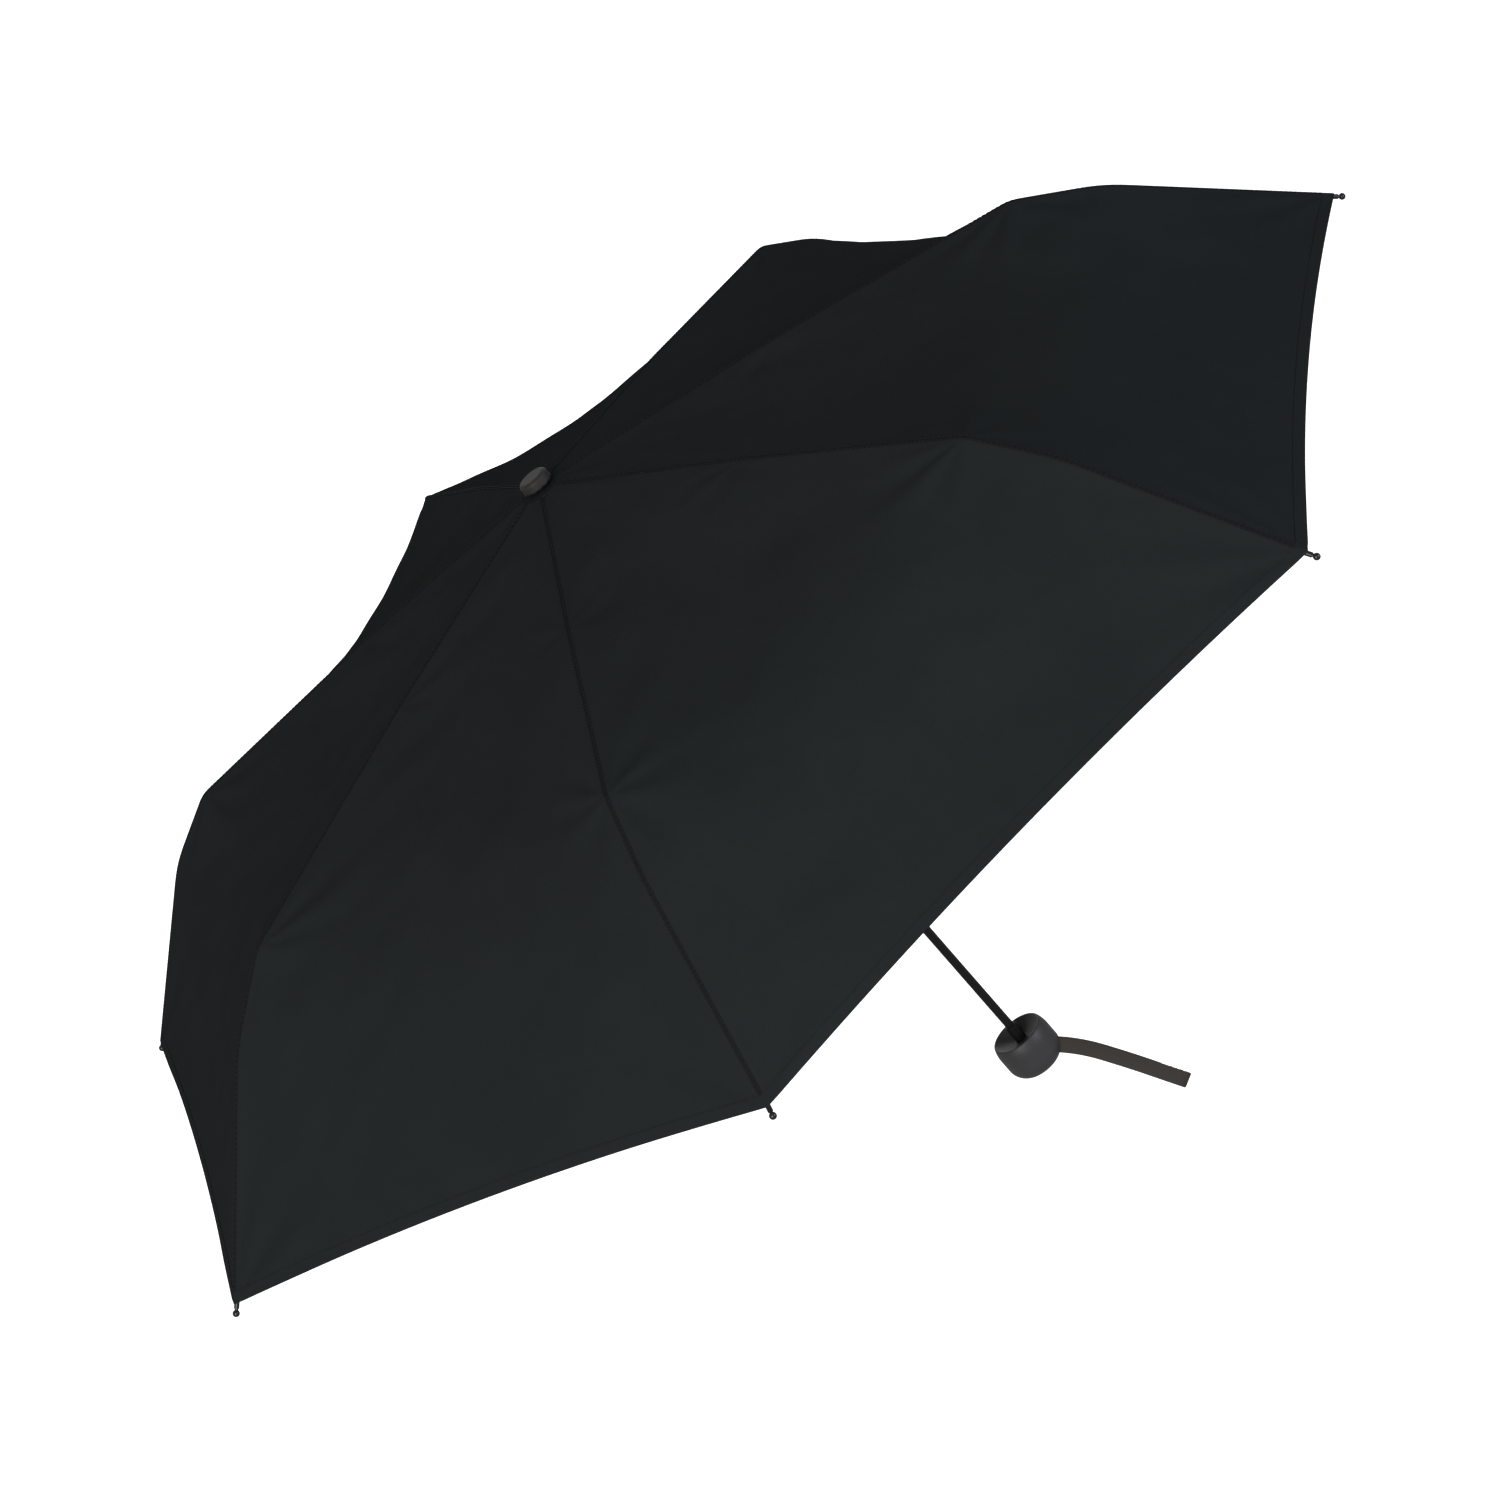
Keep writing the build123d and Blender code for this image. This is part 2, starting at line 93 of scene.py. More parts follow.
def makeCamera():
    right = Vector(view["right"]).normalized()
    back = -Vector(view["ahead"]).normalized()
    up = back.cross(right).normalized()
    right = up.cross(back)
    data = bpy.data.cameras.new("mainCamera")
    data.sensor_width = view["sensor"]
    data.lens = view["lens"]
    data.clip_end = view["farthest"]
    camera = bpy.data.objects.new("mainCamera", data)
    turn = Matrix((right, up, back)).transposed().to_4x4()
    camera.matrix_world = Matrix.Translation(view["place"]) @ turn
    bpy.context.scene.collection.objects.link(camera)
    bpy.context.scene.camera = camera


class Wire:
    # an output socket that sums like a number
    def __init__(self, tree, socket):
        self.tree = tree
        self.socket = socket

    def sum(self, operation, other=None):
        inputs = {0: self}
        if other is not None:
            inputs[1] = other
        return self.tree.node("ShaderNodeMath", {"operation": operation}, inputs)

    def __add__(self, other):
        return self.sum("ADD", other)

    __radd__ = __add__

    def __mul__(self, other):
        return self.sum("MULTIPLY", other)

    __rmul__ = __mul__

    def __sub__(self, other):
        return self.sum("SUBTRACT", other)

    def __rsub__(self, other):
        return self.tree.node("ShaderNodeMath", {"operation": "SUBTRACT"}, {0: other, 1: self})

    def sine(self):
        return self.sum("SINE")


class Finish:
    # one material and the nodes in it
    def __init__(self, name):
        self.material = bpy.data.materials.new(name)
        self.material.use_nodes = True
        self.tree = self.material.node_tree
        self.tree.nodes.clear()

    def node(self, kind, settings=None, inputs=None, out=0):
        made = self.tree.nodes.new(kind)
        for key, value in (settings or {}).items():
            if key == "stops":
                ramp = made.color_ramp
                while len(ramp.elements) < len(value):
                    ramp.elements.new(0.5)
                for element, (at, colour) in zip(ramp.elements, value):
                    element.position = at
                    element.color = colour
            else:
                setattr(made, key, value)
        for key, value in (inputs or {}).items():
            socket = made.inputs[key]
            if isinstance(value, Wire):
                self.tree.links.new(value.socket, socket)
            else:
                socket.default_value = value
        return Wire(self, made.outputs[out]) if len(made.outputs) else None

    def noise(self, place, scale, detail=2.0, rough=0.5):
        values = {"Vector": place, "Scale": scale, "Detail": detail, "Roughness": rough}
        return self.node("ShaderNodeTexNoise", None, values)

    def place(self):
        return self.node("ShaderNodeTexCoord", out=3)

    def map(self):
        return self.node("ShaderNodeTexCoord", out=2)

    def between(self, factor, low, high):
        # colour that runs from low to high
        ends = {0: factor, 6: (*low, 1.0), 7: (*high, 1.0)}
        return self.node("ShaderNodeMix", {"data_type": "RGBA"}, ends, 2)

    def bump(self, height, distance, strength=1.0):
        values = {"Height": height, "Distance": distance, "Strength": strength}
        return self.node("ShaderNodeBump", None, values)

    def finish(self, sockets):
        surface = self.node("ShaderNodeBsdfPrincipled", None, sockets)
        self.node("ShaderNodeOutputMaterial", None, {"Surface": surface})
        return self.material


# colours are linear, and a noise is its scale, detail and roughness
cloth = {
    "dark": (0.0140, 0.0164, 0.0174),
    "light": (0.0206, 0.0236, 0.0244),
    "threadStep": 0.00055,   # distance between threads of the weave
    "weaveDepth": 0.00006,
    "weaveStrength": 0.6,
    "creaseDepth": 0.0006,
    "cloudy": (14.0, 4.0, 0.6),
    "fibre": (900.0, 2.0, 0.6),
    "crumple": (55.0, 5.0, 0.55),
    "shares": (0.75, 0.35, 0.08),     # of cloudy, fibre and weave in the colour
    # the seams are the same cloth made darker, a painted shade along each rib's seam
    "seamShadeTone": 0.66,
    "rough": 0.78,
    "roughSpread": 0.12,
    "sheen": 0.006,
    "sheenRough": 0.45,
}


def clothFinish(name, tone=1.0):
    f = Finish(name)
    spread = f.node("ShaderNodeSeparateXYZ", None, {0: f.map()})
    across = Wire(f, spread.socket.node.outputs[0])
    along = Wire(f, spread.socket.node.outputs[1])
    turns = 2 * math.pi / cloth["threadStep"]
    warp = (across * turns).sine()
    weft = (along * turns).sine()
    weave = warp * weft
    cloudy = f.noise(f.place(), *cloth["cloudy"])
    fibre = f.noise(f.place(), *cloth["fibre"])
    crumple = f.noise(f.place(), *cloth["crumple"])
    cloudyShare, fibreShare, weaveShare = cloth["shares"]
    factor = cloudy * cloudyShare + fibre * fibreShare + weave * weaveShare
    # a tone below 1 darkens the cloth, which gives the painted shade on the seams
    dark = [c * tone for c in cloth["dark"]]
    light = [c * tone for c in cloth["light"]]
    fine = f.bump(weave, cloth["weaveDepth"], cloth["weaveStrength"])
    creased = {"Height": crumple, "Distance": cloth["creaseDepth"], "Normal": fine}
    creased = f.node("ShaderNodeBump", None, creased)
    return f.finish({
        "Base Color": f.between(factor, dark, light),
        "Roughness": cloth["rough"] - fibre * cloth["roughSpread"],
        "Normal": creased,
        "Sheen Weight": cloth["sheen"],
        "Sheen Roughness": cloth["sheenRough"],
        "Specular IOR Level": 0.0,
    })


plastics = {
    "grip": {"dark": (0.034, 0.032, 0.034), "light": (0.043, 0.041, 0.044), "rough": 0.46,
             "shine": 0.35, "grain": 1500.0, "depth": 0.00005},
    "collar": {"dark": (0.006, 0.006, 0.006), "light": (0.010, 0.009, 0.009), "rough": 0.38,
               "grain": 1200.0, "depth": 0.00002},
    "cap": {"dark": (0.023, 0.020, 0.020), "light": (0.030, 0.027, 0.026), "rough": 0.55,
            "grain": 1500.0, "depth": 0.00004},
    "washer": {"dark": (0.006, 0.006, 0.006), "light": (0.010, 0.010, 0.010), "rough": 0.5,
               "grain": 1500.0, "depth": 0.00003},
    "crown": {"dark": (0.008, 0.008, 0.008), "light": (0.013, 0.013, 0.013), "rough": 0.36,
              "grain": 1000.0, "depth": 0.00003},
    "strap": {"dark": (0.032, 0.026, 0.023), "light": (0.041, 0.034, 0.030), "rough": 0.6,
              "grain": 1400.0, "depth": 0.00005},
    "tip": {"dark": (0.004, 0.004, 0.004), "light": (0.008, 0.008, 0.008), "rough": 0.16,
            "shine": 0.5, "grain": 600.0, "depth": 0.00001},
    "rod": {"dark": (0.006, 0.006, 0.006), "light": (0.011, 0.011, 0.011), "rough": 0.32,
            "grain": 900.0, "depth": 0.00002},
    "paint": {"dark": (0.0060, 0.0048, 0.0048), "light": (0.0090, 0.0072, 0.0072), "rough": 0.38,
              "grain": 700.0, "depth": 0.00001},
    "thread": {"dark": (0.007, 0.007, 0.008), "light": (0.014, 0.014, 0.015), "rough": 0.6,
               "grain": 2500.0, "depth": 0.00004},
}


grainMix = {
    "blotch": (60.0, 3.0, 0.6),
    "grainDetail": 2.0,
    "grainRough": 0.5,
    "blotchShare": 0.7,
    "grainShare": 0.3,
    "roughSpread": 0.12,
    "strength": 0.8,
    "shine": 0.2,            # for a plastic that gives none
}


def plasticFinish(name):
    values = plastics[name]
    f = Finish(name + "Finish")
    grain = f.noise(f.place(), values["grain"], grainMix["grainDetail"], grainMix["grainRough"])
    blotch = f.noise(f.place(), *grainMix["blotch"])
    tint = blotch * grainMix["blotchShare"] + grain * grainMix["grainShare"]
    spread = grainMix["roughSpread"]
    return f.finish({
        "Base Color": f.between(tint, values["dark"], values["light"]),
        "Roughness": values["rough"] - spread / 2 + blotch * spread,
        "Normal": f.bump(grain, values["depth"], grainMix["strength"]),
        "Specular IOR Level": values.get("shine", grainMix["shine"]),
    })


steel = {
    "dark": (0.30, 0.30, 0.31),
    "light": (0.48, 0.48, 0.49),
    "scratch": (420.0, 3.0, 0.6),
    "rough": 0.22,
    "roughSpread": 0.18,
}


def steelFinish():
    f = Finish("wireFinish")
    scratch = f.noise(f.place(), *steel["scratch"])
    return f.finish({
        "Base Color": f.between(scratch, steel["dark"], steel["light"]),
        "Roughness": steel["rough"] + scratch * steel["roughSpread"],
        "Metallic": 1.0,
    })


finishes = {name: plasticFinish(name) for name in plastics}
finishes["wire"] = steelFinish()
finishes["cloth"] = clothFinish("clothFinish")
# seam strips get the cloth darkened, a painted shade along each seam
finishes["seam"] = clothFinish("seamShadeFinish", cloth["seamShadeTone"])
print("finishes made:", len(finishes))

nodeFinish = {
    "handle": "grip", "handle_plug": "grip", "handle_collar": "collar", "strap_pin": "wire",
    "lower_tube": "paint", "middle_tube": "paint", "upper_tube": "paint",
    "crown": "crown", "crown_wire": "wire", "cap": "cap", "cap_washer": "washer",
    "runner": "crown", "runner_wire": "wire", "runner_button": "collar",
    "inner_rib": "paint", "middle_rib": "paint", "stretcher": "paint",
    "outer_rib": "rod", "rib_tip": "tip", "canopy": "cloth", "strap": "strap",
}


def finishNodes():
    for name, node in nodes.items():
        stem = name.rstrip("1234567").rstrip("_")
        finish = finishes[nodeFinish[name if name in nodeFinish else stem]]
        node.data.materials.clear()
        node.data.materials.append(finish)


canopy = {
    "ribs": 7,
    "fold": (0.1665, -0.0260),     # outline in a rib's plane: radius and height from the apex
    "knee": (0.3310, -0.0570),
    "bow": (0.3820, -0.0885),
    "tip": (0.4900, -0.1910),
    "ribCorners": (0.010, 0.016, 0.040),      # how softly the cloth turns at those corners
    "gapCorners": (0.080, 0.150, 0.110),      # and half way between two ribs
    "sag": 0.0155,                 # dip between two ribs, deepest at the knees
    "sagInner": 0.170,
    "sagOuter": 0.148,
    "hemSag": 0.008,
    "thickness": 0.0004,
    "centre": 0.0150,              # the cloth inside this radius stays on the crown
    "hole": 0.0030,
    "rowStep": 0.0036,
    "acrossSteps": 42,
    "swell": 0.0010,
    "borderBow": 0.10,
    "profileCount": 2400,
    "slopeStep": 0.002,
    "normalStep": 0.001,
    "leanWidth": 0.04,
    "swellWidth": 3,
    "crowding": 1.25,              # more than 1 puts more columns near the rib
    "areaSteps": 60,
    "keep": {"inner": 0.05, "middle": 0.04, "outer": 0.045},
}

ribCount = canopy["ribs"]
halfGore = math.pi / ribCount
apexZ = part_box("canopy")[1].z
limits = {"flat": 1e-9, "close": 1e-6, "thinFace": 1e-12}


def smooth(t):
    t = np.clip(t, 0.0, 1.0)
    return t * t * (3 - 2 * t)


corners = [(0.0, 0.0), canopy["fold"], canopy["knee"], canopy["bow"], canopy["tip"]]
runs = [math.dist(a, b) for a, b in zip(corners, corners[1:])]
slopes = [math.atan2(b[1] - a[1], b[0] - a[0]) for a, b in zip(corners, corners[1:])]
foldAt = runs[0]
kneeAt = foldAt + runs[1]
tipAt = sum(runs)
profileSteps = np.linspace(0.0, tipAt, canopy["profileCount"])


def outline(widths):
    # radius and height along the cloth, with each corner turned over its own width
    slope = np.full_like(profileSteps, slopes[0])
    at = 0.0
    for length, turn, width in zip(runs, np.diff(slopes), widths):
        at += length
        slope = slope + turn * smooth((profileSteps - at) / width + 0.5)
    step = profileSteps[1]
    radius = np.concatenate(([0.0], np.cumsum(np.cos(slope))[:-1] * step))
    height = np.concatenate(([0.0], np.cumsum(np.sin(slope))[:-1] * step))
    share = profileSteps / tipAt
    radius += (canopy["tip"][0] - radius[-1]) * share
    height += (canopy["tip"][1] - height[-1]) * share
    return radius, height


ribOutline = outline(canopy["ribCorners"])
gapOutline = outline(canopy["gapCorners"])


def sagAt(along):
    reach = np.where(along < kneeAt, canopy["sagInner"], canopy["sagOuter"])
    return canopy["sag"] * np.exp(-(((along - kneeAt) / reach) ** 2))


creases = [
    {"at": kneeAt, "depth": 0.0008, "ring": 0.032, "spread": 0.026, "count": 7},
    {"at": foldAt, "depth": 0.0004, "ring": 0.024, "spread": 0.020, "count": 6},
    {"at": tipAt, "depth": 0.0007, "ring": 0.050, "spread": 0.034, "count": 9},
]
creaseTurns = {"side": 1.7, "rib": 1.9, "clear": 0.012}


def folds(rib, across, along, radius):
    # small folds that run out from the knee, the fold and the tip of a rib
    wide = radius * math.sin(halfGore) * across
    lift = np.zeros_like(wide)
    for crease in creases:
        ahead = along - crease["at"]
        far = np.hypot(wide, ahead)
        turn = np.arctan2(ahead, np.abs(wide) + limits["close"])
        side = np.where(wide < 0, creaseTurns["side"], 0.0)
        wave = np.sin(crease["count"] * turn + side + creaseTurns["rib"] * rib)
        fade = np.exp(-(((far - crease["ring"]) / crease["spread"]) ** 2))
        lift += crease["depth"] * wave * fade * smooth(np.abs(wide) / creaseTurns["clear"])
    return lift


def clothPoints(rib, across, along, lift=0.0):
    # points of the cloth; across runs from -1 to 1, from one gap's middle to the next
    across, along = np.broadcast_arrays(np.asarray(across, float), np.asarray(along, float))
    x = np.abs(across)
    side = np.where(across < 0, -1.0, 1.0)
    blend = 1 - (1 - x) ** 2
    step = canopy["slopeStep"]

    def level(at, which):
        onRib = np.interp(at, profileSteps, ribOutline[which])
        onGap = np.interp(at, profileSteps, gapOutline[which])
        return (1 - blend) * onRib + blend * onGap

    c, s = math.cos(halfGore), math.sin(halfGore)
    reach = level(along, 0)
    fall = (level(along + step, 1) - level(along - step, 1)) / np.maximum(
        c * (level(along + step, 0) - level(along - step, 0)), limits["flat"])
    up = 1 / np.sqrt(1 + fall * fall)
    dip = lift - sagAt(along) * blend + folds(rib, across, along, reach)
    dip = dip + canopy["swell"] * smooth(x * canopy["swellWidth"]) * swell(rib, across, along)
    lean = -fall * up * dip * smooth(x / canopy["leanWidth"])
    radial = reach * ((1 - x) + x * c * c) + lean * c
    sideStep = (reach * x * c + lean) * s * side
    height = level(along, 1) + dip * up + apexZ
    angle = -2 * math.pi / ribCount * rib
    ca, sa = math.cos(angle), math.sin(angle)
    return np.stack((radial * ca - sideStep * sa, radial * sa + sideStep * ca, height), axis=-1)


swelling = {
    "seed": 7,
    "waves": 9,
    "first": 22,             # radians in a metre, and how many more for each next wave
    "more": 6,
    "turn": 5,
    "ribTurn": 2.3,
    "share": 3,
    "gapFade": 3,
    "tipFade": 0.09,
}
swellWaves = np.random.default_rng(swelling["seed"]).normal(size=(swelling["waves"], 3))


def swell(rib, across, along):
    # slow unevenness, nothing at the middle of a gap so that neighbours meet
    total = np.zeros(np.broadcast(across, along).shape)
    wide = along * np.sin(halfGore * across)
    for i, (a, b, c) in enumerate(swellWaves):
        pace = swelling["first"] + swelling["more"] * i
        shift = swelling["turn"] * c
        total = total + np.sin(pace * (a * wide + b * along) + shift + swelling["ribTurn"] * rib)
    gapFade = smooth((1 - np.abs(across)) * swelling["gapFade"])
    return total / swelling["share"] * gapFade * smooth((tipAt - along) / swelling["tipFade"])


def clothNormals(rib, across, along, lift):
    # outward direction at each point, from the surface beyond the grid's own edges too
    e = canopy["normalStep"]
    a = clothPoints(rib, np.maximum(across - e, -1.0), along, lift)
    b = clothPoints(rib, np.minimum(across + e, 1.0), along, lift)
    c = clothPoints(rib, across, along - e, lift)
    d = clothPoints(rib, across, along + e, lift)
    normal = np.cross(d - c, b - a)
    return normal / np.linalg.norm(normal, axis=-1, keepdims=True)


def gridFaces(rows, columns, start=0, flip=False):
    faces = []
    for i in range(rows - 1):
        for j in range(columns - 1):
            a = start + i * columns + j
            face = (a, a + 1, a + columns + 1, a + columns)
            faces.append(face[::-1] if flip else face)
    return faces


def slab(name, top, bottom, uv, normal, finish):
    # closed thin mesh between two grids of points
    rows, columns = top.shape[:2]
    count = rows * columns
    points = np.concatenate((top.reshape(-1, 3), bottom.reshape(-1, 3)))
    faces = gridFaces(rows, columns) + gridFaces(rows, columns, count, True)
    flat = len(faces)
    edge = list(range(columns))
    edge += [i * columns + columns - 1 for i in range(1, rows)]
    edge += [(rows - 1) * columns + j for j in range(columns - 2, -1, -1)]
    edge += [i * columns for i in range(rows - 2, 0, -1)]
    for a, b in zip(edge, edge[1:] + edge[:1]):
        faces.append((b, a, a + count, b + count))
    mesh = bpy.data.meshes.new(name)
    mesh.from_pydata(points.tolist(), [], faces)
    mesh.materials.append(finish)
    made = meshObject(name, mesh, True)
    layer = mesh.uv_layers.new(name="UVMap")
    both = np.concatenate((uv.reshape(-1, 2), uv.reshape(-1, 2)))
    index = np.zeros(len(mesh.loops), int)
    mesh.loops.foreach_get("vertex_index", index)
    layer.data.foreach_set("uv", both[index].ravel())
    owner = np.repeat(np.arange(len(faces)), [len(f) for f in faces])
    rim = np.zeros(3 * len(faces))
    mesh.polygons.foreach_get("normal", rim)
    rim = rim.reshape(-1, 3)[owner]
    way = normal.reshape(-1, 3)
    way = np.concatenate((way, -way))[index]
    way = np.where((owner < flat)[:, None], way, rim)
    mesh.normals_split_custom_set(way.tolist())
    return made


def meshObject(name, mesh, fixNormals=False):
    if fixNormals:
        work = bmesh.new()
        work.from_mesh(mesh)
        bmesh.ops.recalc_face_normals(work, faces=work.faces)
        work.to_mesh(mesh)
        work.free()
    for face in mesh.polygons:
        face.use_smooth = True
    mesh.name = name
    made = bpy.data.objects.new(name, mesh)
    bpy.context.scene.collection.objects.link(made)
    return made


def hemAt(across):
    return tipAt - canopy["hemSag"] * (1 - (1 - np.abs(across)) ** 2)


def acrossSteps():
    # closer together near the rib, where the cloth turns over it
    t = np.linspace(-1.0, 1.0, 2 * canopy["acrossSteps"] + 1)
    return np.sign(t) * np.abs(t) ** canopy["crowding"]


sections = {
    "inner": {"from": canopy["centre"], "to": foldAt, "body": "inner_rib"},
    "middle": {"from": foldAt, "to": kneeAt, "body": "middle_rib"},
    "outer": {"from": kneeAt, "to": None, "body": "outer_rib"},
}


def borderAt(at, across):
    # borders between sections bow outwards between ribs, so less cloth stands out when folded
    radius = np.interp(at, profileSteps, ribOutline[0])
    return at + canopy["borderBow"] * radius * across ** 2


def sectionGrid(section, across):
    low, high = sections[section]["from"], sections[section]["to"]
    rows = int(((high or tipAt) - low) / canopy["rowStep"])
    v = np.linspace(0.0, 1.0, rows)[:, None]
    start = borderAt(low, across)[None, :] if section != "inner" else np.full((1, len(across)), low)
    end = hemAt(across)[None, :] if high is None else borderAt(high, across)[None, :]
    along = start + v * (end - start)
    return np.broadcast_to(across[None, :], along.shape), along


def clothSlab(name, rib, across, along, low, high, finish):
    top = clothPoints(rib, across, along, high)
    bottom = clothPoints(rib, across, along, low)
    normal = clothNormals(rib, across, along, high)
    ribR = np.interp(along, profileSteps, ribOutline[0])
    uv = np.stack((across * ribR * math.sin(halfGore), along), axis=-1)
    return slab(name, top, bottom, uv, normal, finish)


def foldAway(piece, rib, section, side=0):
    # the piece rides on the body of its section's rib, with its own copy of the mesh
    low, high = sections[section]["from"], sections[section]["to"] or tipAt
    middle, end = clothPoints(rib, np.zeros(2), np.array((low, high)))
    if side:
        ahead = Vector(end - middle).normalized()
        edge = clothPoints(rib, np.array((0.0, float(side))), np.full(2, (low + high) / 2))
        out = Vector(edge[1] - edge[0])
    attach(piece, f"{sections[section]['body']}_{rib + 1}")
    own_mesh(piece)


def halfArea(section):
    # flat size of the cloth on one side of a rib
    low, high = sections[section]["from"], sections[section]["to"] or tipAt
    s = np.linspace(low, high, canopy["areaSteps"])
    wide = np.interp(s, profileSteps, ribOutline[0]) * math.sin(halfGore)
    return float(np.trapz(wide, s)), float(wide.max()), high - low


# rows of thread along a line, made by nodes
stitching = {"step": 0.0032, "length": 0.0024, "radius": 0.00022, "rows": 0.0010}


def stitchTree():
    tree = bpy.data.node_groups.new("stitchRow", "GeometryNodeTree")
    face = tree.interface
    face.new_socket("Lines", in_out="INPUT", socket_type="NodeSocketGeometry")
    for label, value in (("Step", stitching["step"]), ("Length", stitching["length"]),
                         ("Radius", stitching["radius"])):
        made = face.new_socket(label, in_out="INPUT", socket_type="NodeSocketFloat")
        made.default_value = value
    face.new_socket("Thread", in_out="INPUT", socket_type="NodeSocketMaterial")
    face.new_socket("Stitches", in_out="OUTPUT", socket_type="NodeSocketGeometry")

    def add(kind, **settings):
        node = tree.nodes.new(kind)
        for key, value in settings.items():
            setattr(node, key, value)
        return node

    def join(a, out, b, into):
        tree.links.new(a.outputs[out], b.inputs[into])

    given = add("NodeGroupInput")
    result = add("NodeGroupOutput")
    curve = add("GeometryNodeMeshToCurve")
    points = add("GeometryNodeCurveToPoints", mode="LENGTH")
    bead = add("GeometryNodeMeshIcoSphere")
    bead.inputs["Subdivisions"].default_value = 1
    bead.inputs["Radius"].default_value = 1.0
    stretch = add("ShaderNodeCombineXYZ")
    half = add("ShaderNodeMath", operation="MULTIPLY")
    half.inputs[1].default_value = 0.5
    shape = add("GeometryNodeTransform")
    place = add("GeometryNodeInstanceOnPoints")
    real = add("GeometryNodeRealizeInstances")
    paint = add("GeometryNodeSetMaterial")
    join(given, "Lines", curve, "Mesh")
    join(curve, "Curve", points, "Curve")
    join(given, "Step", points, "Length")
    join(given, "Length", half, 0)
    join(given, "Radius", stretch, "X")
    join(given, "Radius", stretch, "Y")
    join(half, "Value", stretch, "Z")
    join(bead, "Mesh", shape, "Geometry")
    join(stretch, "Vector", shape, "Scale")
    join(points, "Points", place, "Points")
    join(points, "Rotation", place, "Rotation")
    join(shape, "Geometry", place, "Instance")
    join(place, "Instances", real, "Geometry")
    join(real, "Geometry", paint, "Geometry")
    join(given, "Thread", paint, "Material")
    join(paint, "Geometry", result, "Stitches")
    return tree


stitchRow = stitchTree()


def stitches(name, lines):
    # lines is a list of point lists; the result is one plain mesh
    points = []
    edges = []
    for line in lines:
        start = len(points)
        points += [tuple(p) for p in line]
        edges += [(start + i, start + i + 1) for i in range(len(line) - 1)]
    mesh = bpy.data.meshes.new(name + "Line")
    mesh.from_pydata(points, edges, [])
    holder = bpy.data.objects.new(name + "Line", mesh)
    bpy.context.scene.collection.objects.link(holder)
    rows = holder.modifiers.new("stitches", "NODES")
    rows.node_group = stitchRow
    ids = {item.name: item.identifier for item in stitchRow.interface.items_tree
           if item.in_out == "INPUT"}
    for label in ("Step", "Length", "Radius"):
        rows[ids[label]] = stitching[label.lower()]
    rows[ids["Thread"]] = finishes["thread"]
    graph = bpy.context.evaluated_depsgraph_get()
    made = bpy.data.meshes.new_from_object(holder.evaluated_get(graph))
    bpy.data.objects.remove(holder)
    return meshObject(name, made)


trim = {
    "seamHalf": 0.0015,
    "seamAcross": (-1.0, -0.55, 0.0, 0.55, 1.0),
    "seamLow": 0.0001,
    "seamLift": 0.00035,
    "seamStep": 0.004,
    "seamEnd": 0.001,        # how far the seam and its stitches stop before the tip
    "stitchEnd": 0.006,
    "stitchGap": 0.002,
    "stitchLift": 0.00005,
    "hemWidth": 0.0075,
    "hemLift": 0.00035,
    "hemOver": 0.0006,
    "hemRows": 5,
    "hemStitchBack": 0.0012,
    "hemStitchFrom": 0.015,
    "hemStitchTo": 0.99,
    "hemStitchSteps": 70,
}


def seamStrip(rib, section):
    low = sections[section]["from"]
    high = sections[section]["to"] or tipAt - trim["seamEnd"]
    along = np.linspace(low, high, int((high - low) / trim["seamStep"]))[:, None]
    offset = np.array(trim["seamAcross"])[None, :] * trim["seamHalf"]
    wide = np.interp(along, profileSteps, ribOutline[0]) * math.sin(halfGore)
    across = offset / wide
    along = np.broadcast_to(along, across.shape)
    return clothSlab(f"seam_{section}_{rib + 1}", rib, across, along, trim["seamLow"],
                     trim["seamLift"], finishes["seam"])


def seamStitches(rib, section):
    low = sections[section]["from"]
    high = sections[section]["to"] or tipAt - trim["stitchEnd"]
    count = int((high - low) / trim["seamStep"])
    along = np.linspace(low + trim["stitchGap"], high - trim["stitchGap"], count)
    wide = np.interp(along, profileSteps, ribOutline[0]) * math.sin(halfGore)
    lines = []
    for side in (-1, 1):
        across = side * stitching["rows"] / wide
        lines.append(clothPoints(rib, across, along, trim["seamLift"] + trim["stitchLift"]))
    return stitches(f"stitches_{section}_{rib + 1}", lines)


def hemStrip(rib, across, word):
    v = np.linspace(0.0, 1.0, trim["hemRows"])[:, None]
    end = hemAt(across)[None, :] + trim["hemOver"]
    along = end - trim["hemWidth"] * (1 - v)
    across = np.broadcast_to(across[None, :], along.shape)
    return clothSlab(f"hem_{word}_{rib + 1}", rib, across, along,
                     -canopy["thickness"] - trim["hemLift"], trim["hemLift"], finishes["cloth"])


def hemStitches(rib, side, word):
    reach = np.linspace(trim["hemStitchFrom"], trim["hemStitchTo"], trim["hemStitchSteps"])
    across = side * reach
    back = hemAt(across) - trim["hemWidth"] + trim["hemStitchBack"]
    lifts = (trim["hemLift"] + trim["stitchLift"],
             -canopy["thickness"] - trim["hemLift"] - trim["stitchLift"])
    lines = [clothPoints(rib, across, back, lift) for lift in lifts]
    return stitches(f"hem_stitches_{word}_{rib + 1}", lines)


def makeCanopy():
    steps = acrossSteps()
    for rib in range(ribCount):
        for section in sections:
            pieces = [seamStrip(rib, section), seamStitches(rib, section)]
            for part in pieces:
                foldAway(part, rib, section)
            for side, word in ((-1, "left"), (1, "right")):
                across = steps[steps * side >= 0]
                wideGrid, along = sectionGrid(section, across)
                piece = clothSlab(f"cloth_{section}_{word}_{rib + 1}", rib, wideGrid, along,
                                  -canopy["thickness"], 0.0, finishes["cloth"])
                extra = []
                if section == "outer":
                    extra = [hemStrip(rib, across, word), hemStitches(rib, side, word)]
                for part in [piece] + extra:
                    foldAway(part, rib, section, side)
                area, wide, long = halfArea(section)
                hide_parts("canopy")
    makeCentre()


centreDisc = {"over": 0.0012, "rings": 7, "steps": 8, "lift": 0.00008, "areaShare": 0.8}


